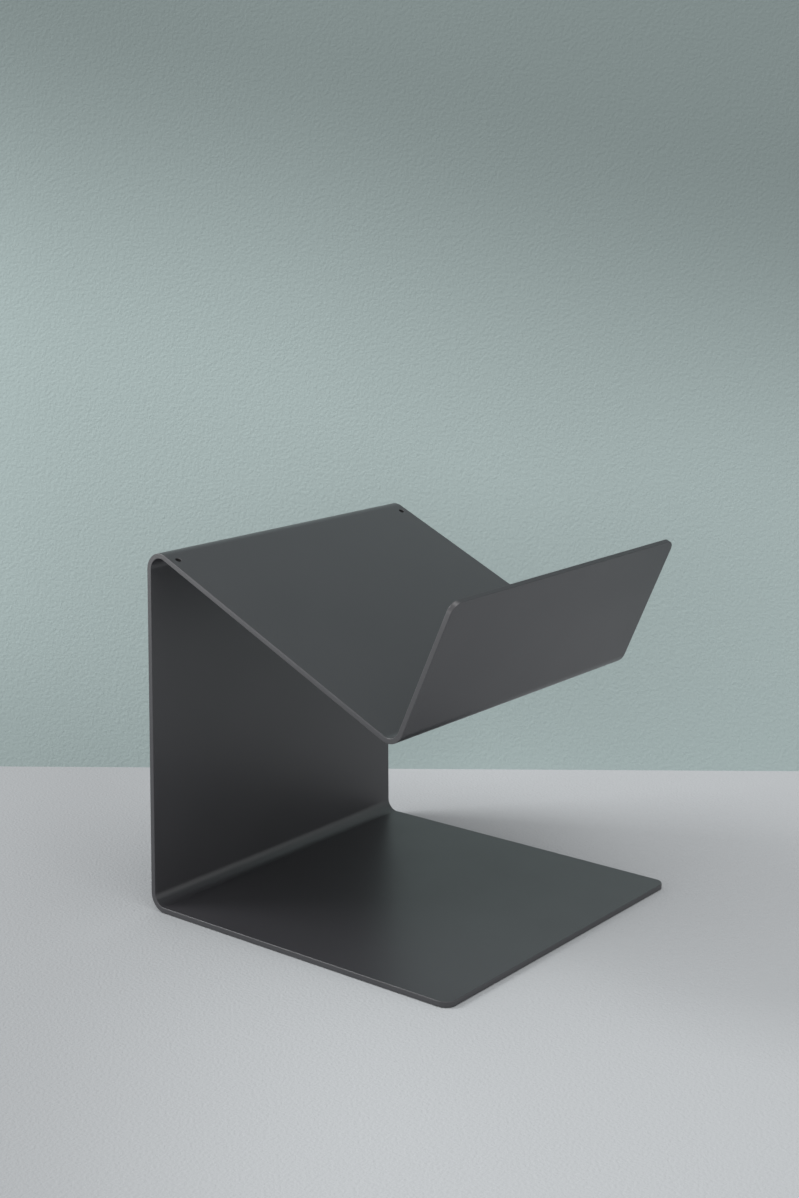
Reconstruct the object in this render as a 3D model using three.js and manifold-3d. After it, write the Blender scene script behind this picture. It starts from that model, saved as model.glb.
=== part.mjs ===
// Magazine rack: one strip of thick steel sheet, folded three times, on four thin glide pads.
// Seen from the side it is a base plate, an upright back, a tray that slopes down to the front,
// and a flange that turns up at the tray's lower end. The base carries a stack of magazines, and
// the V between tray and flange holds an open one.
// Millimetres, +Z up. The open front faces -Y and the sheet's width lies along X. The origin is on
// the floor, under the middle of the rack.
import * as THREE from "three";
import { mergeVertices } from "three/addons/utils/BufferGeometryUtils.js";
import Module from "manifold-3d";

// The strip.
const SHEET_WIDTH = 355;
const SHEET_THICKNESS = 5;
const BEND_RADIUS = 12; // inside radius of every bend
const CORNER_RADIUS = 11; // the strip's four corners

// The folds. A length runs between sharp corners, on the face that holds the underside of the
// base, the outside of the back, the top of the tray and the inside of the flange.
const BASE_DEPTH = 358;
const BACK_HEIGHT = 357;
const TRAY_LENGTH = 331;
const FLANGE_LENGTH = 145.5;
const BACK_ANGLE = 90; // degrees, from base to back
const TRAY_FALL = 25; // degrees below the horizontal, towards the front
const TRAY_ANGLE = 90; // degrees, between tray and flange

// The two holes near the tray's upper corners.
const HOLE_DIAMETER = 6;
const HOLE_FROM_SIDE = 9.5; // centre to the side edge
const HOLE_FROM_CREST = 36; // centre to the sharp corner of back and tray, along the tray

// The glide pads under the base.
const PAD_DIAMETER = 16;
const PAD_THICKNESS = 0.5;
const PAD_INSET = 24; // centre to the sides and to the front edge
const PAD_FROM_BEND = 14; // centre to the line where the base starts to bend up

// Fineness of round stretches, and how far a cutter reaches past what it cuts.
const BEND_STEPS = 14;
const CORNER_STEPS = 10;
const HOLE_SIDES = 32;
const PAD_SIDES = 48;
const CUT_OVERRUN = 2;

const wasm = await Module();
wasm.setup();

const coatedSteel = new THREE.MeshStandardMaterial({
  color: 0x4b4d4f,
  roughness: 0.52,
  metalness: 0,
});
const padRubber = new THREE.MeshStandardMaterial({
  color: 0x1c1c1d,
  roughness: 0.8,
  metalness: 0,
});

// ---- The folded profile ----

// A direction in the profile plane, whose x runs to the back and whose y runs up.
function direction(degrees) {
  const angle = THREE.MathUtils.degToRad(degrees);
  return new THREE.Vector2(Math.cos(angle), Math.sin(angle));
}

// The normal on the left of a direction of travel.
function leftOf(travel) {
  return new THREE.Vector2(-travel.y, travel.x);
}

// The straight runs of the strip, from the base's front edge to the flange's top edge, each with
// its sharp start and end on the base face. A positive turn is to the left.
function layOutRuns() {
  const trayTurn = 180 + TRAY_FALL - BACK_ANGLE;
  const plan = [
    { length: BASE_DEPTH, turn: BACK_ANGLE },
    { length: BACK_HEIGHT, turn: trayTurn },
    { length: TRAY_LENGTH, turn: TRAY_ANGLE - 180 },
    { length: FLANGE_LENGTH, turn: 0 },
  ];
  let heading = 0;
  let start = new THREE.Vector2(-BASE_DEPTH, PAD_THICKNESS);
  return plan.map(({ length, turn }) => {
    const travel = direction(heading);
    const end = start.clone().addScaledVector(travel, length);
    const run = { start, end, travel, left: leftOf(travel), heading, turn };
    start = end;
    heading += turn;
    return run;
  });
}

// The arc of one face around the bend after a run. The face lies `depth` to the left of the base
// face, so it is the outside of a left-hand bend at depth 0 and the inside of a right-hand one.
function bendArc(run, next, depth) {
  const side = Math.sign(run.turn);
  const radius = side > 0 ? BEND_RADIUS + SHEET_THICKNESS - depth : BEND_RADIUS + depth;
  const middle = run.left.clone().add(next.left);
  const spread = 1 + run.left.dot(next.left);
  const centre = run.end.clone().addScaledVector(middle, (depth + side * radius) / spread);
  const points = [];
  for (let step = 0; step <= BEND_STEPS; step++) {
    const heading = run.heading + (run.turn * step) / BEND_STEPS;
    const outwards = leftOf(direction(heading)).multiplyScalar(-side * radius);
    points.push(centre.clone().add(outwards));
  }
  return points;
}

// One face of the strip from front edge to top edge, as points.
function facePoints(runs, depth) {
  const first = runs[0];
  const last = runs[runs.length - 1];
  const bends = runs.slice(0, -1).flatMap((run, i) => bendArc(run, runs[i + 1], depth));
  return [
    first.start.clone().addScaledVector(first.left, depth),
    ...bends,
    last.end.clone().addScaledVector(last.left, depth),
  ];
}

// ---- Solids ----

// A closed geometry as a manifold-3d solid.
function toSolid(geometry) {
  const bare = geometry.clone();
  bare.deleteAttribute("normal");
  bare.deleteAttribute("uv");
  const merged = mergeVertices(bare, 1e-4);
  const mesh = new wasm.Mesh({
    numProp: 3,
    vertProperties: new Float32Array(merged.attributes.position.array),
    triVerts: new Uint32Array(merged.index.array),
  });
  return new wasm.Manifold(mesh);
}

// A manifold-3d solid as a geometry with flat faces.
function toGeometry(solid) {
  const mesh = solid.getMesh();
  const indexed = new THREE.BufferGeometry();
  indexed.setAttribute("position", new THREE.BufferAttribute(mesh.vertProperties, mesh.numProp));
  indexed.setIndex(new THREE.BufferAttribute(mesh.triVerts, 1));
  const geometry = indexed.toNonIndexed();
  geometry.computeVertexNormals();
  return geometry;
}

// A vector of the profile plane as one of the part's own frame.
function fromProfile(vector) {
  return new THREE.Vector3(0, vector.x, vector.y);
}

// The folded strip before its corners and holes are cut, with its width centred on X.
function stripGeometry(runs) {
  const outline = [...facePoints(runs, 0), ...facePoints(runs, SHEET_THICKNESS).reverse()];
  const geometry = new THREE.ExtrudeGeometry(new THREE.Shape(outline), {
    depth: SHEET_WIDTH,
    bevelEnabled: false,
  });
  geometry.translate(0, 0, -SHEET_WIDTH / 2);
  const alongY = new THREE.Vector3(0, 1, 0);
  const alongZ = new THREE.Vector3(0, 0, 1);
  const alongX = new THREE.Vector3(1, 0, 0);
  return geometry.applyMatrix4(new THREE.Matrix4().makeBasis(alongY, alongZ, alongX));
}

// What is cut away outside one rounded corner. The sharp corner is at the origin and the sheet
// lies at negative x and y; the cutter's depth is centred on the sheet's middle plane.
function cornerCutter() {
  const points = [];
  for (let step = 0; step <= CORNER_STEPS; step++) {
    const angle = (Math.PI / 2) * (step / CORNER_STEPS);
    const x = CORNER_RADIUS * (Math.cos(angle) - 1);
    const y = CORNER_RADIUS * (Math.sin(angle) - 1);
    points.push(new THREE.Vector2(x, y));
  }
  points.push(new THREE.Vector2(-CORNER_RADIUS, CUT_OVERRUN));
  points.push(new THREE.Vector2(CUT_OVERRUN, CUT_OVERRUN));
  points.push(new THREE.Vector2(CUT_OVERRUN, -CORNER_RADIUS));
  const depth = SHEET_THICKNESS + 2 * CUT_OVERRUN;
  const geometry = new THREE.ExtrudeGeometry(new THREE.Shape(points), { depth, bevelEnabled: false });
  return geometry.translate(0, 0, -depth / 2);
}

// Cutters for the two corners at one end of the strip: `tip` is the end's sharp edge on the base
// face, `outwards` points off the end and `left` is the face normal there.
function endCornerCutters(tip, outwards, left) {
  const middle = fromProfile(tip.clone().addScaledVector(left, SHEET_THICKNESS / 2));
  const end = fromProfile(outwards);
  return [-1, 1].map((side) => {
    const across = new THREE.Vector3(side, 0, 0);
    const through = across.clone().cross(end);
    const placed = new THREE.Matrix4().makeBasis(across, end, through);
    placed.setPosition(middle.clone().addScaledVector(across, SHEET_WIDTH / 2));
    return toSolid(cornerCutter().applyMatrix4(placed));
  });
}

// Cutters for the two holes through the tray.
function holeCutters(tray) {
  const along = HOLE_FROM_CREST;
  const middle = tray.start.clone().addScaledVector(tray.travel, along);
  middle.addScaledVector(tray.left, SHEET_THICKNESS / 2);
  const radius = HOLE_DIAMETER / 2;
  const length = SHEET_THICKNESS + 2 * CUT_OVERRUN;
  const turn = new THREE.Quaternion();
  turn.setFromUnitVectors(new THREE.Vector3(0, 1, 0), fromProfile(tray.left));
  return [-1, 1].map((side) => {
    const geometry = new THREE.CylinderGeometry(radius, radius, length, HOLE_SIDES);
    geometry.applyQuaternion(turn);
    const centre = fromProfile(middle);
    geometry.translate(side * (SHEET_WIDTH / 2 - HOLE_FROM_SIDE), centre.y, centre.z);
    return toSolid(geometry);
  });
}

// ---- Pieces ----

function foldedSheet(runs) {
  const [base, , tray, flange] = runs;
  const cutters = [
    ...endCornerCutters(base.start, base.travel.clone().negate(), base.left),
    ...endCornerCutters(flange.end, flange.travel, flange.left),
    ...holeCutters(tray),
  ];
  const cut = cutters.reduce((solid, cutter) => solid.subtract(cutter), toSolid(stripGeometry(runs)));
  const mesh = new THREE.Mesh(toGeometry(cut), coatedSteel.clone());
  mesh.name = "folded_sheet";
  return mesh;
}

function glidePad(name, x, y) {
  const radius = PAD_DIAMETER / 2;
  const geometry = new THREE.CylinderGeometry(radius, radius, PAD_THICKNESS, PAD_SIDES);
  const mesh = new THREE.Mesh(geometry.rotateX(Math.PI / 2), padRubber.clone());
  mesh.name = name;
  mesh.position.set(x, y, PAD_THICKNESS / 2);
  return mesh;
}

function glidePads() {
  const fromMiddle = SHEET_WIDTH / 2 - PAD_INSET;
  const rearInset = BEND_RADIUS + SHEET_THICKNESS + PAD_FROM_BEND;
  const rows = { front: PAD_INSET - BASE_DEPTH, rear: -rearInset };
  const sides = { left: -fromMiddle, right: fromMiddle };
  return Object.entries(rows).flatMap(([row, y]) =>
    Object.entries(sides).map(([side, x]) => glidePad(`glide_pad_${row}_${side}`, x, y)),
  );
}

// The profile's own origin is on the outside of the back, so the rack is moved back until half its
// overall depth lies on either side of the origin.
const runs = layOutRuns();
const rack = new THREE.Group();
rack.name = "magazine_rack";
rack.add(foldedSheet(runs), ...glidePads());
const overall = new THREE.Box3().setFromObject(rack);
rack.position.y = -(overall.min.y + overall.max.y) / 2;

export default rack;
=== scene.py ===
"""Looks of a magazine rack: one strip of thick sheet, folded three times and powder coated.

Lengths are metres in the frame's own axes: +Z up, the open front towards -Y, the width along X.
The strip is laid out flat with its corners, holes and soft arrises, and a press brake made of
Geometry Nodes then folds it. Four glide pads lie under the base.
"""

import logging
import math
from collections.abc import Mapping, Sequence
from dataclasses import dataclass, field
from enum import Enum

import bmesh
import bpy
from mathutils import Matrix, Vector


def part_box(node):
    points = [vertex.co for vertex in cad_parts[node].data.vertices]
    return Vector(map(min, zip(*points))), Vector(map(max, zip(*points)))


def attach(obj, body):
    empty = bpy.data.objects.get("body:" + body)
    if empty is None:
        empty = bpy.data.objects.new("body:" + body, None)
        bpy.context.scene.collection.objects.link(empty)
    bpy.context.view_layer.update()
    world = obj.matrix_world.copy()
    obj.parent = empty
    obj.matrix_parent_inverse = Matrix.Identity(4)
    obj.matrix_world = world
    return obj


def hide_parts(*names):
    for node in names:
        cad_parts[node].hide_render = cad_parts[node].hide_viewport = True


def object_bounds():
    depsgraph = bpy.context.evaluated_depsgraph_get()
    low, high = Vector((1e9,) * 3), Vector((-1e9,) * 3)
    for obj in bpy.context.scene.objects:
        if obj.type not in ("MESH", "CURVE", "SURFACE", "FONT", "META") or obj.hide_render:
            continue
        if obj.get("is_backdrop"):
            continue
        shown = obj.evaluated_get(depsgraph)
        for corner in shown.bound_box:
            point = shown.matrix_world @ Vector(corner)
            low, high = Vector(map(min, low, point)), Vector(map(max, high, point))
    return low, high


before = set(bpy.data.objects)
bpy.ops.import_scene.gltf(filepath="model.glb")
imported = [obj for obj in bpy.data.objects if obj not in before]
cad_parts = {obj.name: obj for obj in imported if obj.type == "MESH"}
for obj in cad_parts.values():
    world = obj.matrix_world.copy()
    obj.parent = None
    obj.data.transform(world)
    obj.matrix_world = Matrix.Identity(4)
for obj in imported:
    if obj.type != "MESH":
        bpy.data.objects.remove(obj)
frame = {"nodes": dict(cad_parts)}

LOG = logging.getLogger("magazine_rack")

# The attribute in which the strip's points tell the coat where they lie: 1 is the middle of an
# arris, 0 is a plain face and HOLE_WALL is the wall of a hole.
EDGE_TRACE = "edge"
HOLE_WALL = -1.0

Colour = tuple[float, float, float]
Box = tuple[Vector, Vector]


# ---- Node trees ----


class Signal:
    """One output socket, which takes part in arithmetic written as Python."""

    def __init__(self, graph: "Graph", socket: bpy.types.NodeSocket) -> None:
        """Wraps a socket of a graph."""
        self.graph = graph
        self.socket = socket

    def __add__(self, other: "Value") -> "Signal":
        """Self plus other."""
        return self.graph.maths("ADD", self, other)

    def __radd__(self, other: "Value") -> "Signal":
        """Other plus self."""
        return self.graph.maths("ADD", other, self)

    def __sub__(self, other: "Value") -> "Signal":
        """Self minus other."""
        return self.graph.maths("SUBTRACT", self, other)

    def __rsub__(self, other: "Value") -> "Signal":
        """Other minus self."""
        return self.graph.maths("SUBTRACT", other, self)

    def __mul__(self, other: "Value") -> "Signal":
        """Self times other."""
        return self.graph.maths("MULTIPLY", self, other)

    def __rmul__(self, other: "Value") -> "Signal":
        """Other times self."""
        return self.graph.maths("MULTIPLY", other, self)

    def __truediv__(self, other: "Value") -> "Signal":
        """Self divided by other."""
        return self.graph.maths("DIVIDE", self, other)

    def __rtruediv__(self, other: "Value") -> "Signal":
        """Other divided by self."""
        return self.graph.maths("DIVIDE", other, self)

    def __neg__(self) -> "Signal":
        """Self with its sign turned round."""
        return self.graph.maths("MULTIPLY", self, -1.0)

    def clipped(self, low: "Value", high: "Value") -> "Signal":
        """Self kept between low and high."""
        return self.graph.maths("MINIMUM", self.graph.maths("MAXIMUM", self, low), high)

    def ramped(self, low: float, high: float) -> "Signal":
        """Turns self into 0 below low and 1 above high, with a soft S between.

        Args:
            low: where the ramp starts.
            high: where it ends.

        Returns:
            The ramped signal.
        """
        ranged = self.graph.add(
            "ShaderNodeMapRange",
            {"interpolation_type": "SMOOTHSTEP"},
            {"Value": self, "From Min": low, "From Max": high},
        )
        return self.graph.output(ranged, "Result")


Value = Signal | float | int | Sequence[float] | Vector | bpy.types.Material


class Graph:
    """A node tree of any kind, whose nodes all come from one method."""

    def __init__(self, tree: bpy.types.NodeTree) -> None:
        """Wraps a tree and clears it."""
        self.tree = tree
        tree.nodes.clear()

    @staticmethod
    def socket(sockets: bpy.types.bpy_prop_collection, key: str) -> bpy.types.NodeSocket:
        """The socket that has key as its identifier, or else as its name."""
        exact = [socket for socket in sockets if socket.identifier == key]
        return exact[0] if exact else sockets[key]

    def add(
        self,
        kind: str,
        settings: Mapping[str, object] | None = None,
        inputs: Mapping[str, Value] | None = None,
    ) -> bpy.types.Node:
        """Adds one node.

        Args:
            kind: the node's type.
            settings: its properties, which are set first.
            inputs: a value or a signal for each socket, by identifier or by name.

        Returns:
            The node.
        """
        node = self.tree.nodes.new(kind)
        for name, setting in (settings or {}).items():
            setattr(node, name, setting)
        self.feed(node, inputs or {})
        return node

    def feed(self, node: bpy.types.Node, inputs: Mapping[str, Value]) -> None:
        """Gives a node's sockets what they take.

        Args:
            node: the node.
            inputs: a value or a signal for each socket, by identifier or by name.
        """
        for key, value in inputs.items():
            socket = self.socket(node.inputs, key)
            if isinstance(value, Signal):
                self.tree.links.new(value.socket, socket)
            else:
                socket.default_value = value

    def output(self, node: bpy.types.Node, key: str) -> Signal:
        """The signal that leaves a node at one of its outputs."""
        return Signal(self, self.socket(node.outputs, key))

    def maths(self, operation: str, *values: Value) -> Signal:
        """Works out one sum.

        Args:
            operation: the Math node's operation.
            values: the one, two or three values that it takes.

        Returns:
            The result.
        """
        keys = ("Value", "Value_001", "Value_002")
        node = self.add("ShaderNodeMath", {"operation": operation}, dict(zip(keys, values)))
        return self.output(node, "Value")

    def vector(self, x: Value, y: Value, z: Value) -> Signal:
        """A vector put together from three values."""
        node = self.add("ShaderNodeCombineXYZ", inputs={"X": x, "Y": y, "Z": z})
        return self.output(node, "Vector")

    def moved(self, place: Signal, by: Value) -> Signal:
        """A place, or a colour, plus a vector."""
        node = self.add("ShaderNodeVectorMath", {"operation": "ADD"}, {"Vector": place, "Vector_001": by})
        return self.output(node, "Vector")

    def scaled(self, vector: Value, factor: Value) -> Signal:
        """A vector or a colour times a value."""
        node = self.add("ShaderNodeVectorMath", {"operation": "SCALE"}, {"Vector": vector, "Scale": factor})
        return self.output(node, "Vector")

    def along(self, place: Signal, axis: Vector) -> Signal:
        """Measures how far a place lies along an axis.

        Args:
            place: the place.
            axis: the axis, through the origin.

        Returns:
            The distance from the origin, times the axis's own length.
        """
        inputs = {"Vector": place, "Vector_001": axis}
        node = self.add("ShaderNodeVectorMath", {"operation": "DOT_PRODUCT"}, inputs)
        return self.output(node, "Value")

    def noise(self, place: Signal, grain: float, detail: float = 2.0) -> Signal:
        """Makes smooth noise around zero.

        Args:
            place: where it is read.
            grain: about how many metres one grain is across.
            detail: how many finer layers lie on it.

        Returns:
            The noise, from -0.5 to 0.5.
        """
        inputs = {"Vector": place, "Scale": 1.0 / grain, "Detail": detail}
        node = self.add("ShaderNodeTexNoise", {"noise_dimensions": "3D"}, inputs)
        return self.output(node, "Fac") - 0.5

    def bumped(self, height: Signal) -> Signal:
        """The normal of a surface with a relief, whose height is in metres."""
        node = self.add("ShaderNodeBump", inputs={"Strength": 1.0, "Distance": 1.0, "Height": height})
        return self.output(node, "Normal")


def opaque(colour: Colour) -> tuple[float, float, float, float]:
    """A colour with full alpha, as colour sockets take it."""
    return (*colour, 1.0)


def new_material(name: str) -> tuple[bpy.types.Material, Graph]:
    """Makes an empty node material.

    Args:
        name: the material's name.

    Returns:
        The material and its graph.
    """
    material = bpy.data.materials.new(name)
    material.use_nodes = True
    return material, Graph(material.node_tree)


# ---- Finishes ----


@dataclass(frozen=True)
class PowderCoat:
    """Satin anthracite powder coat: a fine tooth on a shallow orange peel, with faint clouds.

    It is thinner and smoother on the arrises, which are paler both for the thinner coat and for a painted
    highlight along every arris; inside the holes it is dull, and darkened by painted shade. A tone is a
    share of the colour, and a dulling is added to the roughness.
    """

    colour: Colour = (0.0335, 0.033, 0.0372)
    roughness: float = 0.37
    refractive_index: float = 1.5
    gloss_level: float = 1.0
    cloud_grain: float = 0.075
    cloud_tone: float = 0.14
    cloud_dulling: float = 0.10
    peel_grain: float = 0.0024
    peel_height: float = 0.000012
    tooth_grain: float = 0.00055
    tooth_height: float = 0.00002
    tooth_tone: float = 0.16
    tooth_dulling: float = 0.08
    # The arrises' paler tone is partly a thinner coat and partly a painted highlight.
    arris_thin_coat_and_highlight: float = 0.22
    arris_dulling: float = -0.05
    # The holes' darker tone is painted shade on their walls.
    hole_painted_shade: float = -0.85
    hole_dulling: float = 0.4

    def material(self) -> bpy.types.Material:
        """Makes the coat's material.

        Returns:
            A material whose pattern lies in the piece's own frame.
        """
        material, graph = new_material("powder_coat")
        place = graph.output(graph.add("ShaderNodeTexCoord"), "Object")
        cloud = graph.noise(place, self.cloud_grain, detail=3.0)
        tooth = graph.noise(place, self.tooth_grain, detail=3.0)
        peel = graph.noise(place, self.peel_grain, detail=1.0)
        edge = graph.output(graph.add("ShaderNodeAttribute", {"attribute_name": EDGE_TRACE}), "Fac")
        arris = edge.clipped(0.0, 1.0)
        # The hole walls' mask: it darkens them with painted shade, and dulls them.
        hollow = (-edge).clipped(0.0, 1.0)
        # The arrises are paler, partly for the thinner coat and partly as a painted highlight.
        tone = 1.0 + self.cloud_tone * cloud + self.tooth_tone * tooth + self.arris_thin_coat_and_highlight * arris
        roughness = self.roughness + self.cloud_dulling * cloud + self.tooth_dulling * tooth
        roughness = roughness + self.arris_dulling * arris + self.hole_dulling * hollow
        surface = graph.add(
            "ShaderNodeBsdfPrincipled",
            inputs={
                "Base Color": graph.scaled(self.colour, tone * (1.0 + self.hole_painted_shade * hollow)),
                "Roughness": roughness,
                "Normal": graph.bumped(self.peel_height * peel + self.tooth_height * tooth),
                "IOR": self.refractive_index,
                "Specular IOR Level": self.gloss_level,
            },
        )
        graph.add("ShaderNodeOutputMaterial", inputs={"Surface": graph.output(surface, "BSDF")})
        return material


@dataclass(frozen=True)
class PadRubber:
    """Soft black rubber with a fine moulded grain, which is paler and duller on its tops."""

    colour: Colour = (0.012, 0.012, 0.0125)
    roughness: float = 0.78
    grain: float = 0.0004
    grain_height: float = 0.00002
    grain_tone: float = 0.5
    grain_dulling: float = 0.1

    def material(self) -> bpy.types.Material:
        """Makes the rubber's material.

        Returns:
            A material whose pattern lies in the piece's own frame.
        """
        material, graph = new_material("pad_rubber")
        place = graph.output(graph.add("ShaderNodeTexCoord"), "Object")
        grain = graph.noise(place, self.grain)
        surface = graph.add(
            "ShaderNodeBsdfPrincipled",
            inputs={
                "Base Color": graph.scaled(self.colour, 1.0 + self.grain_tone * grain),
                "Roughness": self.roughness + self.grain_dulling * grain,
                "Normal": graph.bumped(self.grain_height * grain),
            },
        )
        graph.add("ShaderNodeOutputMaterial", inputs={"Surface": graph.output(surface, "BSDF")})
        return material


@dataclass(frozen=True)
class Shade:
    """A soft painted shade on the studio's paint, which grows along an axis from start to end.

    The axis goes through the origin, and depth is the share of the tone that is lost at the end.
    """

    axis: Vector
    start: float
    end: float
    depth: float

    def tone(self, graph: Graph, place: Signal) -> Signal:
        """What is left of the paint's tone under the painted shade at a place."""
        return 1.0 - self.depth * graph.along(place, self.axis).ramped(self.start, self.end)


@dataclass(frozen=True)
class StudioPaint:
    """Flat paint of the studio's floor or wall, rolled on, a little uneven from patch to patch, and
    darkened in soft stretches by painted shade.
    """

    name: str
    colour: Colour
    patch: float = 0.6
    unevenness: float = 0.06
    tooth_grain: float = 0.0036
    tooth_height: float = 0.0006
    shades: tuple[Shade, ...] = ()
    one_sided: bool = False

    def material(self) -> bpy.types.Material:
        """Makes the paint's material.

        Returns:
            A material that light and sight pass through from behind if the paint is one-sided.
        """
        material, graph = new_material(self.name)
        place = graph.output(graph.add("ShaderNodeTexCoord"), "Object")
        tone = 1.0 + self.unevenness * graph.noise(place, self.patch)
        # Each of these darkens the paint in a soft stretch: painted shade where the light falls off or a
        # shadow lies.
        for shade in self.shades:
            tone = tone * shade.tone(graph, place)
        normal = graph.bumped(self.tooth_height * graph.noise(place, self.tooth_grain, detail=1.0))
        inputs = {"Color": graph.scaled(self.colour, tone), "Normal": normal}
        paint = graph.output(graph.add("ShaderNodeBsdfDiffuse", inputs=inputs), "BSDF")
        if self.one_sided:
            behind = graph.output(graph.add("ShaderNodeNewGeometry"), "Backfacing")
            clear = graph.output(graph.add("ShaderNodeBsdfTransparent"), "BSDF")
            inputs = {"Fac": behind, "Shader": paint, "Shader_001": clear}
            paint = graph.output(graph.add("ShaderNodeMixShader", inputs=inputs), "Shader")
        graph.add("ShaderNodeOutputMaterial", inputs={"Surface": paint})
        return material


# ---- Geometry Nodes ----


class NodeRecipe:
    """A Geometry Nodes tree with named inputs, run once to make a plain mesh."""

    def __init__(self, name: str) -> None:
        """Makes an empty tree that takes and gives a geometry.

        Args:
            name: the tree's name.
        """
        self.tree = bpy.data.node_groups.new(name, "GeometryNodeTree")
        self.graph = Graph(self.tree)
        self.tree.interface.new_socket("Geometry", in_out="INPUT", socket_type="NodeSocketGeometry")
        self.tree.interface.new_socket("Geometry", in_out="OUTPUT", socket_type="NodeSocketGeometry")
        self.entry = self.graph.add("NodeGroupInput")
        self.geometry = self.graph.output(self.entry, "Geometry")
        self.values: dict[str, Value] = {}

    def input(self, name: str, value: Value) -> Signal:
        """Adds a named input.

        Args:
            name: the input's name.
            value: the number, vector or material that it gets.

        Returns:
            The input as a signal inside the tree.
        """
        if isinstance(value, bpy.types.Material):
            kind = "NodeSocketMaterial"
        elif isinstance(value, Sequence):
            kind = "NodeSocketVector"
        elif isinstance(value, int):
            kind = "NodeSocketInt"
        else:
            kind = "NodeSocketFloat"
        socket = self.tree.interface.new_socket(name, in_out="INPUT", socket_type=kind)
        self.values[socket.identifier] = value
        return self.graph.output(self.entry, socket.identifier)

    def end(self, geometry: Signal, material: Signal) -> None:
        """Closes the tree: smooth shading, real geometry and its material.

        Args:
            geometry: the finished shape.
            material: what it is made of.
        """
        graph = self.graph
        smooth = graph.add("GeometryNodeSetShadeSmooth", inputs={"Geometry": geometry})
        inputs = {"Geometry": graph.output(smooth, "Geometry")}
        real = graph.add("GeometryNodeRealizeInstances", inputs=inputs)
        inputs = {"Geometry": graph.output(real, "Geometry"), "Material": material}
        dressed = graph.add("GeometryNodeSetMaterial", inputs=inputs)
        graph.add("NodeGroupOutput", inputs={"Geometry": graph.output(dressed, "Geometry")})

    def run(self, name: str, start: bpy.types.Mesh) -> bpy.types.Object:
        """Runs the tree on a mesh.

        Args:
            name: the finished piece's name.
            start: the mesh that goes in.

        Returns:
            An object at the origin that holds the result as a plain mesh.
        """
        piece = bpy.data.objects.new(name, start)
        bpy.context.scene.collection.objects.link(piece)
        modifier = piece.modifiers.new(self.tree.name, "NODES")
        modifier.node_group = self.tree
        for identifier, value in self.values.items():
            modifier[identifier] = value
        made = piece.evaluated_get(bpy.context.evaluated_depsgraph_get())
        mesh = bpy.data.meshes.new_from_object(made)
        mesh.name = name
        piece.modifiers.remove(modifier)
        piece.data = mesh
        bpy.data.meshes.remove(start)
        return piece


# ---- The folded strip ----


class Side(Enum):
    """The strip's two long sides, as the sign of X."""

    LEFT = -1
    RIGHT = 1


@dataclass(frozen=True)
class Fold:
    """One bend of the strip: where it starts along the flat strip, and how far it turns."""

    name: str
    start: float
    turn: float
    radius: float

    @property
    def end(self) -> float:
        """Where the bend stops along the flat strip."""
        return self.start + abs(self.turn) * self.radius


@dataclass(frozen=True)
class Hole:
    """A plain round hole through the flat strip, with a square frame of faces around it."""

    x: float
    y: float
    radius: float
    frame: float
    sides: int

    def square(self) -> list[tuple[float, float]]:
        """Works out the frame's points.

        Returns:
            The points, from the nearest left corner along the near edge and round.
        """
        lines = self.sides // 4
        paces = [2 * line / lines - 1 for line in range(lines)]
        near = [(pace, -1.0) for pace in paces]
        right = [(1.0, pace) for pace in paces]
        far = [(-pace, 1.0) for pace in paces]
        left = [(-1.0, -pace) for pace in paces]
        around = [*near, *right, *far, *left]
        return [(self.x + self.frame * x, self.y + self.frame * y) for x, y in around]

    def circle(self, inset: float) -> list[tuple[float, float]]:
        """Works out a circle round the hole.

        Args:
            inset: how far outside the hole's wall it runs.

        Returns:
            Its points, each in line with one of the frame's.
        """
        reach = self.radius + inset
        points = []
        # The circle starts in the direction of the frame's first corner.
        for side in range(self.sides):
            angle = math.radians(-135) + math.tau * side / self.sides
            points.append((self.x + reach * math.cos(angle), self.y + reach * math.sin(angle)))
        return points


@dataclass(frozen=True)
class HoleFrame:
    """The numbers of a hole frame's points on one face of the strip, edge by edge."""

    points: tuple[int, ...]

    @property
    def lines(self) -> int:
        """How many faces lie along one edge."""
        return len(self.points) // 4

    def near(self) -> list[int]:
        """The edge towards the base's front edge, from left to right."""
        return list(self.points[: self.lines + 1])

    def far(self) -> list[int]:
        """The opposite edge, from left to right."""
        return list(reversed(self.points[2 * self.lines : 3 * self.lines + 1]))

    def sides(self, line: int) -> tuple[int, int]:
        """The left and right points on one line across the strip."""
        return self.points[-line % len(self.points)], self.points[self.lines + line]


@dataclass(frozen=True)
class EdgeStep:
    """One loop of an edge's soft arris: how far in from the edge, at what height, and how round."""

    inset: float
    height: float
    arris: float


def rounded_edge(thickness: float, radius: float, hold: float, steps: int) -> list[EdgeStep]:
    """The loops over an edge from the upper face to the lower one.

    Args:
        thickness: the sheet's thickness.
        radius: the arris's radius.
        hold: how far outside the round stretch the loops lie that keep the flats flat.
        steps: how many faces each arris has.

    Returns:
        The loops in order.
    """
    half = thickness / 2
    upper = [EdgeStep(radius + hold, half, 0.0)]
    # The arris is a quarter circle, and counts as roundest halfway.
    for step in range(steps + 1):
        angle = math.pi / 2 * step / steps
        inset = radius * (1 - math.sin(angle))
        height = half - radius * (1 - math.cos(angle))
        upper.append(EdgeStep(inset, height, math.sin(2 * angle)))
    upper.append(EdgeStep(0.0, half - radius - hold, 0.0))
    lower = [EdgeStep(step.inset, -step.height, step.arris) for step in reversed(upper)]
    return upper + lower


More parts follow.
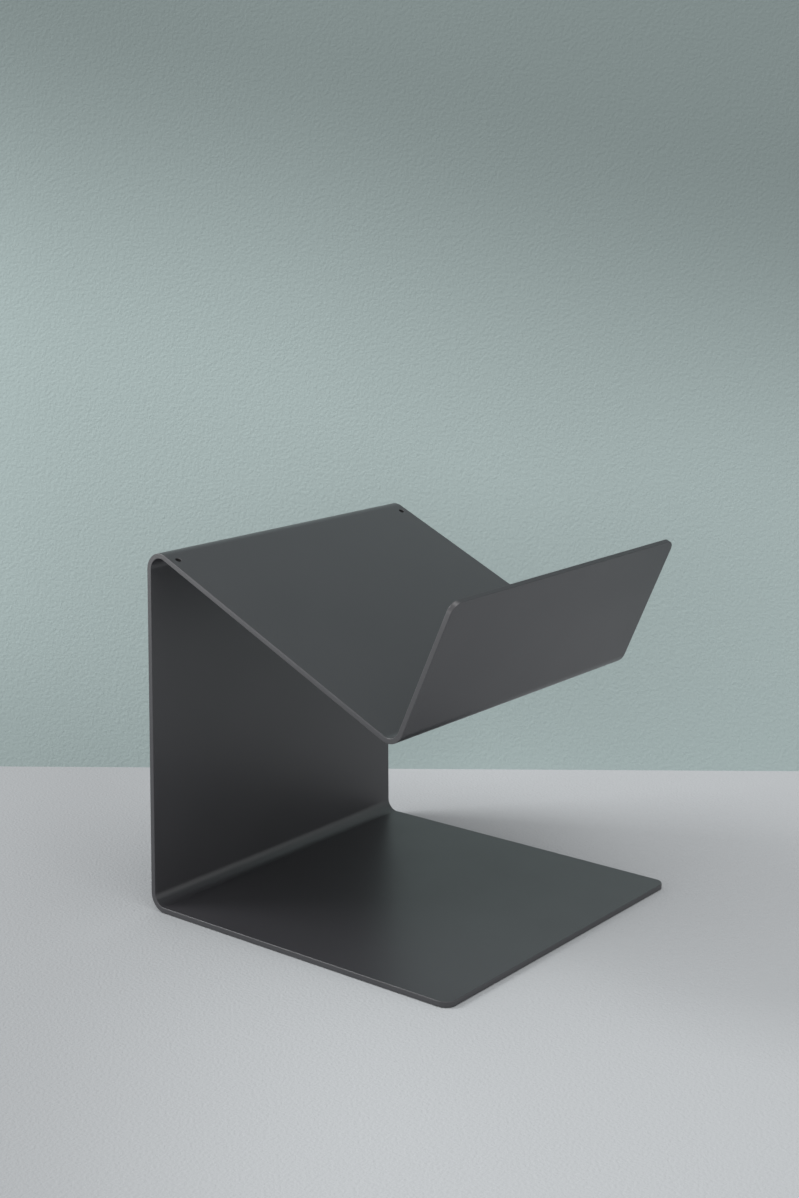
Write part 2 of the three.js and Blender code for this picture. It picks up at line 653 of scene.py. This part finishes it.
class MeshBuilder:
    """Points and faces of a mesh while it is put together."""

    def __init__(self) -> None:
        """Starts with nothing."""
        self.points: list[tuple[float, float, float]] = []
        self.edge: list[float] = []
        self.faces: list[tuple[int, ...]] = []

    def row(self, places: Sequence[tuple[float, float]], height: float, edge: float = 0.0) -> list[int]:
        """Adds points at one height.

        Args:
            places: their places across and along the strip.
            height: their height.
            edge: what they tell the coat.

        Returns:
            The points' numbers.
        """
        first = len(self.points)
        self.points += [(x, y, height) for x, y in places]
        self.edge += [edge] * len(places)
        return list(range(first, len(self.points)))

    def band(self, first: Sequence[int], second: Sequence[int]) -> None:
        """Joins two closed rows with four-sided faces.

        Args:
            first: the numbers of one row's points.
            second: as many numbers of the other row's points.
        """
        count = len(first)
        for i in range(count):
            j = (i + 1) % count
            self.faces.append((first[i], first[j], second[j], second[i]))

    def mesh(self, name: str) -> bpy.types.Mesh:
        """Makes the mesh.

        Args:
            name: the mesh's name.

        Returns:
            A mesh that faces outwards, with what the coat reads kept on its points.
        """
        mesh = bpy.data.meshes.new(name)
        mesh.from_pydata(self.points, [], self.faces)
        edge = mesh.attributes.new(EDGE_TRACE, "FLOAT", "POINT")
        edge.data.foreach_set("value", self.edge)
        shell = bmesh.new()
        shell.from_mesh(mesh)
        bmesh.ops.recalc_face_normals(shell, faces=shell.faces)
        shell.to_mesh(mesh)
        shell.free()
        return mesh


@dataclass
class FoldedSheet:
    """The rack's one sheet. Lengths run between sharp corners on the face under the base.

    The hold is how far outside a bend or an arris the lines lie that keep the flats flat, and the
    straight pace is the widest gap between the lines across a straight stretch.
    """

    coat: PowderCoat
    thickness: float = 0.005
    bend_radius: float = 0.012
    corner_radius: float = 0.011
    base_depth: float = 0.358
    back_height: float = 0.357
    tray_length: float = 0.331
    flange_length: float = 0.1455
    back_turn: float = math.radians(90)
    crest_turn: float = math.radians(115)
    valley_turn: float = math.radians(-90)
    hole_radius: float = 0.003
    hole_from_side: float = 0.0095
    hole_from_crest: float = 0.036
    arris_radius: float = 0.00045
    hole_arris_radius: float = 0.0004
    hold: float = 0.0005
    hole_frame: float = 0.0065
    arris_steps: int = 5
    bend_steps: int = 30
    corner_steps: int = 14
    hole_sides: int = 48
    straight_pace: float = 0.02
    node: str = "folded_sheet"
    name: str = "coated_sheet"
    width: float = field(init=False)
    start: Vector = field(init=False)
    folds: list[Fold] = field(init=False)

    def __post_init__(self) -> None:
        """Takes the width and the place from the frame, and works the bends out."""
        low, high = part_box(self.node)
        self.width = high.x - low.x
        self.start = Vector((0.0, high.y - self.base_depth, low.z + self.thickness / 2))
        self.folds = self._work_out_folds()

    def _tangent(self, turn: float) -> float:
        """How far from its sharp corner a bend starts, on the face under the base."""
        radius = self.bend_radius + (self.thickness if turn > 0 else 0.0)
        return radius * math.tan(abs(turn) / 2)

    def _work_out_folds(self) -> list[Fold]:
        """Lays the bends out along the flat strip.

        Returns:
            The three bends in order, from the base's front edge on.
        """
        plan = [
            ("Back", self.back_turn, self.base_depth),
            ("Crest", self.crest_turn, self.back_height),
            ("Valley", self.valley_turn, self.tray_length),
        ]
        middle_radius = self.bend_radius + self.thickness / 2
        folds = []
        corner = 0.0
        for name, turn, length in plan:
            fold = Fold(name, corner + length - self._tangent(turn), turn, middle_radius)
            folds.append(fold)
            corner = fold.end - self._tangent(turn)
        return folds

    @property
    def developed_length(self) -> float:
        """The flat strip's whole length."""
        valley = self.folds[-1]
        return valley.end - self._tangent(valley.turn) + self.flange_length

    def _hole(self, side: Side) -> Hole:
        """Places the hole near one of the tray's upper corners.

        Args:
            side: the side of the strip that it lies at.

        Returns:
            The hole.
        """
        crest = self.folds[1]
        y = crest.end - self._tangent(crest.turn) + self.hole_from_crest
        x = side.value * (self.width / 2 - self.hole_from_side)
        return Hole(x, y, self.hole_radius, self.hole_frame, self.hole_sides)

    def _stations(self) -> list[float]:
        """Where the strip has a line of points across it, between its corner arcs.

        The bends and the hole frames have evenly spaced lines, a line just outside either end of a
        bend keeps the flats flat, and the straight stretches are filled in.

        Returns:
            Distances along the strip, in order.
        """
        fixed: list[float] = []
        for fold in self.folds:
            pace = (fold.end - fold.start) / self.bend_steps
            fixed.append(fold.start - self.hold)
            fixed += [fold.start + pace * step for step in range(self.bend_steps + 1)]
            fixed.append(fold.end + self.hold)
        hole = self._hole(Side.RIGHT)
        lines = hole.sides // 4
        fixed += [hole.y + hole.frame * (2 * line / lines - 1) for line in range(lines + 1)]
        marks = [self.corner_radius, *sorted(fixed), self.developed_length - self.corner_radius]
        filled: list[float] = []
        for near, far in zip(marks, marks[1:]):
            gaps = math.ceil((far - near) / self.straight_pace)
            filled += [near + (far - near) * gap / gaps for gap in range(gaps)]
        return filled[1:]

    def _half_outline(self, inset: float) -> list[tuple[float, float]]:
        """The right half of the strip's outline, from the base's front edge to the flange's top.

        Args:
            inset: how far inside the strip's edge it runs.

        Returns:
            Points of X and of distance along the strip.
        """
        radius = self.corner_radius
        centre = self.width / 2 - radius
        reach = radius - inset
        quarter = [math.pi / 2 * step / self.corner_steps for step in range(self.corner_steps + 1)]
        near = [(centre + reach * math.sin(a), radius - reach * math.cos(a)) for a in quarter]
        sides = [(self.width / 2 - inset, station) for station in self._stations()]
        end = self.developed_length - radius
        far = [(centre + reach * math.cos(a), end + reach * math.sin(a)) for a in quarter]
        return [*near, *sides, *far]

    def blank(self) -> bpy.types.Mesh:
        """The flat strip, with its corners, holes and soft arrises.

        Returns:
            A closed mesh: X across the strip, Y along it and Z through it, from its middle.
        """
        builder = MeshBuilder()
        loops = []
        for step in rounded_edge(self.thickness, self.arris_radius, self.hold, self.arris_steps):
            half = self._half_outline(step.inset)
            ring = half + [(-x, y) for x, y in reversed(half)]
            loops.append(builder.row(ring, step.height, step.arris))
        for upper, lower in zip(loops, loops[1:]):
            builder.band(upper, lower)
        upper_frames = self._fill_face(builder, loops[0], self.thickness / 2)
        lower_frames = self._fill_face(builder, loops[-1], -self.thickness / 2)
        for side in Side:
            self._line_hole(builder, self._hole(side), upper_frames[side], lower_frames[side])
        return builder.mesh("blank")

    def _fill_face(
        self, builder: MeshBuilder, loop: Sequence[int], height: float
    ) -> dict[Side, HoleFrame]:
        """Fills one face of the flat strip with a ladder of faces, and leaves the hole frames open.

        Args:
            builder: the mesh in the making.
            loop: the points round the face, its right half first.
            height: the face's height.

        Returns:
            The hole frame at each side.
        """
        right = loop[: len(loop) // 2]
        left = list(reversed(loop[len(loop) // 2 :]))
        frames = {
            side: HoleFrame(tuple(builder.row(self._hole(side).square(), height))) for side in Side
        }
        hole = self._hole(Side.RIGHT)
        # The rungs from first to last run into the hole frames.
        gaps = [abs(builder.points[point][1] - (hole.y - hole.frame)) for point in right]
        first = gaps.index(min(gaps))
        last = first + hole.sides // 4
        rungs = [[a, b] for a, b in zip(left, right)]
        for rung, edge in ((first, HoleFrame.near), (last, HoleFrame.far)):
            inner = [*edge(frames[Side.LEFT]), *edge(frames[Side.RIGHT])]
            rungs[rung] = [left[rung], *inner, right[rung]]
        for i in range(len(rungs) - 1):
            if not first <= i < last:
                builder.faces.append((*rungs[i], *reversed(rungs[i + 1])))
                continue
            lines = [self._across_window(frames, left[j], right[j], j - first) for j in (i, i + 1)]
            for (a, b), (c, d) in zip(*lines):
                builder.faces.append((a, b, d, c))
        return frames

    @staticmethod
    def _across_window(
        frames: Mapping[Side, HoleFrame], left: int, right: int, line: int
    ) -> list[tuple[int, int]]:
        """Splits one line across the strip at the hole frames.

        Args:
            frames: the hole frame at each side.
            left: the line's point on the strip's left edge.
            right: its point on the right edge.
            line: the line's number, counted along the frames.

        Returns:
            The two ends of each stretch that lies outside the frames.
        """
        outer_left, inner_left = frames[Side.LEFT].sides(line)
        inner_right, outer_right = frames[Side.RIGHT].sides(line)
        return [(left, outer_left), (inner_left, inner_right), (outer_right, right)]

    def _line_hole(
        self, builder: MeshBuilder, hole: Hole, upper: HoleFrame, lower: HoleFrame
    ) -> None:
        """Closes a hole's frames down to its mouths, and lines its wall.

        Args:
            builder: the mesh in the making.
            hole: the hole.
            upper: its frame on the upper face.
            lower: its frame on the lower face.
        """
        arris = self.hole_arris_radius
        wall_reach = self.thickness / 2 - arris
        rows = [list(upper.points)]
        for step in rounded_edge(self.thickness, arris, self.hold / 2, self.arris_steps):
            edge = HOLE_WALL if abs(step.height) < wall_reach else step.arris
            rows.append(builder.row(hole.circle(step.inset), step.height, edge))
        rows.append(list(lower.points))
        for above, below in zip(rows, rows[1:]):
            builder.band(above, below)

    def press_brake(self) -> NodeRecipe:
        """The folding of the strip, from its last bend to its first.

        Each bend rolls what lies beyond its start round the bend's centre. Points inside the bend
        turn by how far along it they are, and the rest turns as one.

        Returns:
            A recipe that takes the flat strip.
        """
        recipe = NodeRecipe("Press brake")
        graph = recipe.graph
        radius = recipe.input("Bend radius at mid sheet", self.folds[0].radius)
        place = graph.output(graph.add("GeometryNodeInputPosition"), "Position")
        capture = graph.add("GeometryNodeCaptureAttribute")
        capture.capture_items.new("VECTOR", "Flat place")
        graph.feed(capture, {"Geometry": recipe.geometry, "Flat place": place})
        geometry = graph.output(capture, "Geometry")
        flat_place = graph.output(capture, "Flat place")
        split = graph.add("ShaderNodeSeparateXYZ", inputs={"Vector": flat_place})
        along = graph.output(split, "Y")
        for fold in reversed(self.folds):
            start = recipe.input(f"{fold.name} bend starts at", fold.start)
            turn = recipe.input(f"{fold.name} bend turns by", fold.turn)
            side = graph.maths("SIGN", turn)
            reach = (along - start).clipped(0.0, side * turn * radius)
            pulled = graph.moved(place, graph.vector(0.0, -reach, 0.0))
            inputs = {
                "Vector": pulled,
                "Center": graph.vector(0.0, start, side * radius),
                "Angle": side * reach / radius,
            }
            rolled = graph.add("ShaderNodeVectorRotate", {"rotation_type": "X_AXIS"}, inputs)
            inputs = {"Geometry": geometry, "Position": graph.output(rolled, "Vector")}
            geometry = graph.output(graph.add("GeometryNodeSetPosition", inputs=inputs), "Geometry")
        inputs = {"Geometry": geometry, "Offset": recipe.input("Base starts at", tuple(self.start))}
        geometry = graph.output(graph.add("GeometryNodeSetPosition", inputs=inputs), "Geometry")
        recipe.end(geometry, recipe.input("Coat", self.coat.material()))
        return recipe

    def build(self) -> list[bpy.types.Object]:
        """Makes the folded sheet in its place and ties it to the frame.

        Returns:
            The one piece.
        """
        piece = self.press_brake().run(self.name, self.blank())
        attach(piece, "root")
        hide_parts(self.node)
        return [piece]


# ---- The glide pads ----


@dataclass
class GlidePads:
    """The four thin discs under the base, each turned from one profile."""

    rubber: PadRubber
    rim_radius: float = 0.00015
    rim_steps: int = 5
    sides: int = 64
    seam: float = 0.000001
    nodes: tuple[str, ...] = (
        "glide_pad_front_left",
        "glide_pad_front_right",
        "glide_pad_rear_left",
        "glide_pad_rear_right",
    )

    def profile(self, radius: float, thickness: float) -> bpy.types.Mesh:
        """Half the pad's outline, from the middle of its underside to the middle of its top.

        Args:
            radius: the pad's radius.
            thickness: its thickness.

        Returns:
            A mesh of edges in the XZ plane.
        """
        rim = self.rim_radius
        points = [(0.0, 0.0), (radius / 2, 0.0)]
        # Each rim is a quarter circle: the height of its centre, and the quarter turn it starts at.
        for centre, quarter in ((rim, -1.0), (thickness - rim, 0.0)):
            for step in range(self.rim_steps + 1):
                angle = math.pi / 2 * (step / self.rim_steps + quarter)
                points.append((radius - rim + rim * math.cos(angle), centre + rim * math.sin(angle)))
        points += [(radius / 2, thickness), (0.0, thickness)]
        mesh = bpy.data.meshes.new("pad_profile")
        edges = [(i, i + 1) for i in range(len(points) - 1)]
        mesh.from_pydata([(x, 0.0, z) for x, z in points], edges, [])
        return mesh

    def lathe(self, centre: Vector, rows: int) -> NodeRecipe:
        """The turning of a profile round the pad's own upright axis.

        Args:
            centre: the middle of the pad's underside.
            rows: how many points the profile has.

        Returns:
            A recipe that takes the profile.
        """
        recipe = NodeRecipe("Pad lathe")
        graph = recipe.graph
        sides = recipe.input("Sides", self.sides)
        points = recipe.input("Profile points", rows)
        middle = recipe.input("Middle of underside", tuple(centre))
        rubber = recipe.input("Rubber", self.rubber.material())
        inputs = {"Size X": 1.0, "Size Y": 1.0, "Vertices X": sides + 1, "Vertices Y": points}
        grid = graph.output(graph.add("GeometryNodeMeshGrid", inputs=inputs), "Mesh")
        place = graph.output(graph.add("GeometryNodeInputPosition"), "Position")
        split = graph.add("ShaderNodeSeparateXYZ", inputs={"Vector": place})
        # The grid runs from -0.5 to 0.5 both ways: once round the pad, and once along the profile.
        angle = (graph.output(split, "X") + 0.5) * math.tau
        row = graph.maths("ROUND", (graph.output(split, "Y") + 0.5) * (points - 1))
        inputs = {"Geometry": recipe.geometry, "Value": place, "Index": row}
        sample = graph.add("GeometryNodeSampleIndex", {"data_type": "FLOAT_VECTOR"}, inputs)
        outline = graph.add("ShaderNodeSeparateXYZ", inputs={"Vector": graph.output(sample, "Value")})
        reach = graph.output(outline, "X")
        x = reach * graph.maths("COSINE", angle)
        y = reach * graph.maths("SINE", angle)
        turned = graph.vector(x, y, graph.output(outline, "Z"))
        inputs = {"Geometry": grid, "Position": graph.moved(turned, middle)}
        disc = graph.output(graph.add("GeometryNodeSetPosition", inputs=inputs), "Geometry")
        inputs = {"Geometry": disc, "Distance": self.seam}
        closed = graph.output(graph.add("GeometryNodeMergeByDistance", inputs=inputs), "Geometry")
        recipe.end(closed, rubber)
        return recipe

    def build(self) -> list[bpy.types.Object]:
        """Makes each pad in the place of its node and ties it to the frame.

        Returns:
            The four pieces.
        """
        pieces = []
        for node in self.nodes:
            low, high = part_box(node)
            middle = Vector(((low.x + high.x) / 2, (low.y + high.y) / 2, low.z))
            profile = self.profile((high.x - low.x) / 2, high.z - low.z)
            recipe = self.lathe(middle, len(profile.vertices))
            piece = recipe.run(node.replace("glide_pad", "rubber_pad"), profile)
            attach(piece, "root")
            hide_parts(node)
            pieces.append(piece)
        return pieces


# ---- The studio ----


@dataclass(frozen=True)
class Viewpoint:
    """Where the camera stands from the rack's middle, and how it looks. Angles are degrees."""

    offset: tuple[float, float, float] = (-1.4, -1.109, 0.5184)
    bearing: float = 51.19
    dip: float = 3.836
    roll: float = 0.245
    lens: float = 56.44
    shift: float = -0.24

    @property
    def sight(self) -> Vector:
        """The level direction in which the camera looks."""
        angle = math.radians(self.bearing)
        return Vector((math.sin(angle), math.cos(angle), 0.0))

    @property
    def across(self) -> Vector:
        """The level direction to the camera's right."""
        return Vector((self.sight.y, -self.sight.x, 0.0))

    def camera(self, centre: Vector) -> bpy.types.Object:
        """Makes the camera.

        Args:
            centre: the rack's middle.

        Returns:
            The camera's object.
        """
        data = bpy.data.cameras.new("camera")
        data.lens = self.lens
        data.shift_y = self.shift
        camera = bpy.data.objects.new("camera", data)
        turn = Matrix.Rotation(-math.radians(self.bearing), 4, "Z")
        tilt = Matrix.Rotation(math.radians(90 - self.dip), 4, "X")
        lean = Matrix.Rotation(-math.radians(self.roll), 4, "Z")
        stand = Matrix.Translation(centre + Vector(self.offset))
        camera.matrix_world = stand @ turn @ tilt @ lean
        bpy.context.scene.collection.objects.link(camera)
        return camera


@dataclass(frozen=True)
class SoftLamp:
    """One soft box. Its bearing is counted from the camera to the camera's right, in degrees."""

    name: str
    bearing: float
    height: float
    distance: float
    size: tuple[float, float]
    power: float

    def build(self, centre: Vector, view: Viewpoint) -> bpy.types.Object:
        """Makes the lamp, facing the rack.

        Args:
            centre: the rack's middle.
            view: the camera's viewpoint.

        Returns:
            The lamp's object.
        """
        data = bpy.data.lights.new(self.name, "AREA")
        data.shape = "RECTANGLE"
        data.size, data.size_y = self.size
        data.energy = self.power
        angle = math.radians(self.bearing)
        away = view.across * math.sin(angle) - view.sight * math.cos(angle)
        foot = Vector((centre.x, centre.y, 0.0)) + away * self.distance
        place = foot + Vector((0.0, 0.0, self.height))
        aim = (centre - place).to_track_quat("-Z", "Y")
        lamp = bpy.data.objects.new(self.name, data)
        lamp.matrix_world = Matrix.LocRotScale(place, aim, None)
        lamp.visible_camera = False
        bpy.context.scene.collection.objects.link(lamp)
        return lamp


@dataclass
class Studio:
    """A pale floor and a wall behind the rack, both with painted shade, soft boxes and the camera."""

    view: Viewpoint
    lamps: tuple[SoftLamp, ...]
    floor_paint: StudioPaint
    wall_paint: StudioPaint
    ambient: float = 0.7
    ambient_colour: Colour = (0.98, 0.98, 0.985)
    floor_reach: float = 40.0
    wall_distance: float = 0.409
    wall_turn: float = math.radians(1.9)
    wall_reach: float = 3.0
    wall_height: float = 2.4

    def _panel(self, name: str, corners: Sequence[Vector], paint: StudioPaint) -> bpy.types.Object:
        """Makes one flat panel of the stage.

        Args:
            name: the panel's name.
            corners: its four corners in order.
            paint: its paint.

        Returns:
            The panel's object.
        """
        mesh = bpy.data.meshes.new(name)
        mesh.from_pydata([tuple(corner) for corner in corners], [], [(0, 1, 2, 3)])
        mesh.materials.append(paint.material())
        panel = bpy.data.objects.new(name, mesh)
        bpy.context.scene.collection.objects.link(panel)
        panel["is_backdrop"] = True
        return panel

    def _floor(self) -> None:
        """Lays the floor under the rack."""
        reach = self.floor_reach
        signs = ((-1, -1), (1, -1), (1, 1), (-1, 1))
        corners = [Vector((reach * x, reach * y, 0.0)) for x, y in signs]
        self._panel("floor", corners, self.floor_paint)

    def _wall(self, centre: Vector) -> None:
        """Stands the wall behind the rack, nearly square to the camera.

        It casts no shadow and throws no light on the rack, so that views from behind it look alike.

        Args:
            centre: the rack's middle.
        """
        foot = Vector((centre.x, centre.y, 0.0)) + self.view.sight * self.wall_distance
        turn = Matrix.Rotation(-self.wall_turn, 3, "Z")
        side = turn @ self.view.across * self.wall_reach
        up = Vector((0.0, 0.0, self.wall_height))
        corners = [foot - side, foot + side, foot + side + up, foot - side + up]
        wall = self._panel("wall", corners, self.wall_paint)
        wall.visible_shadow = False
        wall.visible_diffuse = False

    def _world(self) -> None:
        """Sets the even light from all sides, which is also what shows beyond the stage."""
        world = bpy.data.worlds.new("studio_air")
        world.use_nodes = True
        graph = Graph(world.node_tree)
        inputs = {"Color": opaque(self.ambient_colour), "Strength": self.ambient}
        air = graph.add("ShaderNodeBackground", inputs=inputs)
        graph.add("ShaderNodeOutputWorld", inputs={"Surface": graph.output(air, "Background")})
        bpy.context.scene.world = world

    def build(self, box: Box) -> None:
        """Makes the whole studio.

        Args:
            box: the rack's lowest and highest corners.
        """
        centre = (box[0] + box[1]) / 2
        scene = bpy.context.scene
        scene.camera = self.view.camera(centre)
        scene.view_settings.view_transform = "Standard"
        for lamp in self.lamps:
            lamp.build(centre, self.view)
        self._floor()
        self._wall(centre)
        self._world()


def plan_studio(view: Viewpoint) -> Studio:
    """Sets the studio's lamps, and its paints with their painted shade.

    Args:
        view: the camera's viewpoint.

    Returns:
        The studio, not built yet.
    """
    right = view.across
    up = Vector((0.0, 0.0, 1.0))
    lamps = (
        SoftLamp("key_box", bearing=-97.0, height=1.8, distance=2.1, size=(1.0, 1.0), power=31.0),
        SoftLamp("edge_box", bearing=-77.0, height=0.4, distance=1.8, size=(1.2, 0.6), power=5.8),
        SoftLamp("top_box", bearing=20.0, height=2.4, distance=0.9, size=(1.4, 1.4), power=16.0),
    )
    # The floor's paint is darker to the left, and the wall's at its top, at its foot and to the left:
    # painted shade where the studio's light falls off.
    top_lean = 0.22 * right
    foot_lean = 0.42 * right
    floor_left_painted_shade = Shade(axis=-right, start=0.0, end=0.4, depth=0.26)
    wall_top_painted_shade = Shade(axis=up + top_lean, start=0.37, end=0.84, depth=0.465)
    wall_foot_painted_shade = Shade(axis=-up - foot_lean, start=-0.023, end=0.22, depth=0.12)
    wall_left_painted_shade = Shade(axis=-right, start=0.1, end=0.45, depth=0.06)
    floor_paint = StudioPaint(
        name="floor_paint",
        colour=(0.481, 0.501, 0.514),
        tooth_grain=0.003,
        shades=(floor_left_painted_shade,),
    )
    wall_paint = StudioPaint(
        name="wall_paint",
        colour=(0.496, 0.593, 0.582),
        shades=(wall_top_painted_shade, wall_foot_painted_shade, wall_left_painted_shade),
        one_sided=True,
    )
    return Studio(view=view, lamps=lamps, floor_paint=floor_paint, wall_paint=wall_paint)


def main() -> None:
    """Builds the rack and its studio, and reports each piece."""
    logging.basicConfig(level=logging.INFO, format="%(message)s")
    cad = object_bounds()
    plan_studio(Viewpoint()).build(cad)
    for part in (FoldedSheet(coat=PowderCoat()), GlidePads(rubber=PadRubber())):
        for piece in part.build():
            LOG.info("%s: %s faces", piece.name, len(piece.data.polygons))


if __name__ == "__main__":
    main()
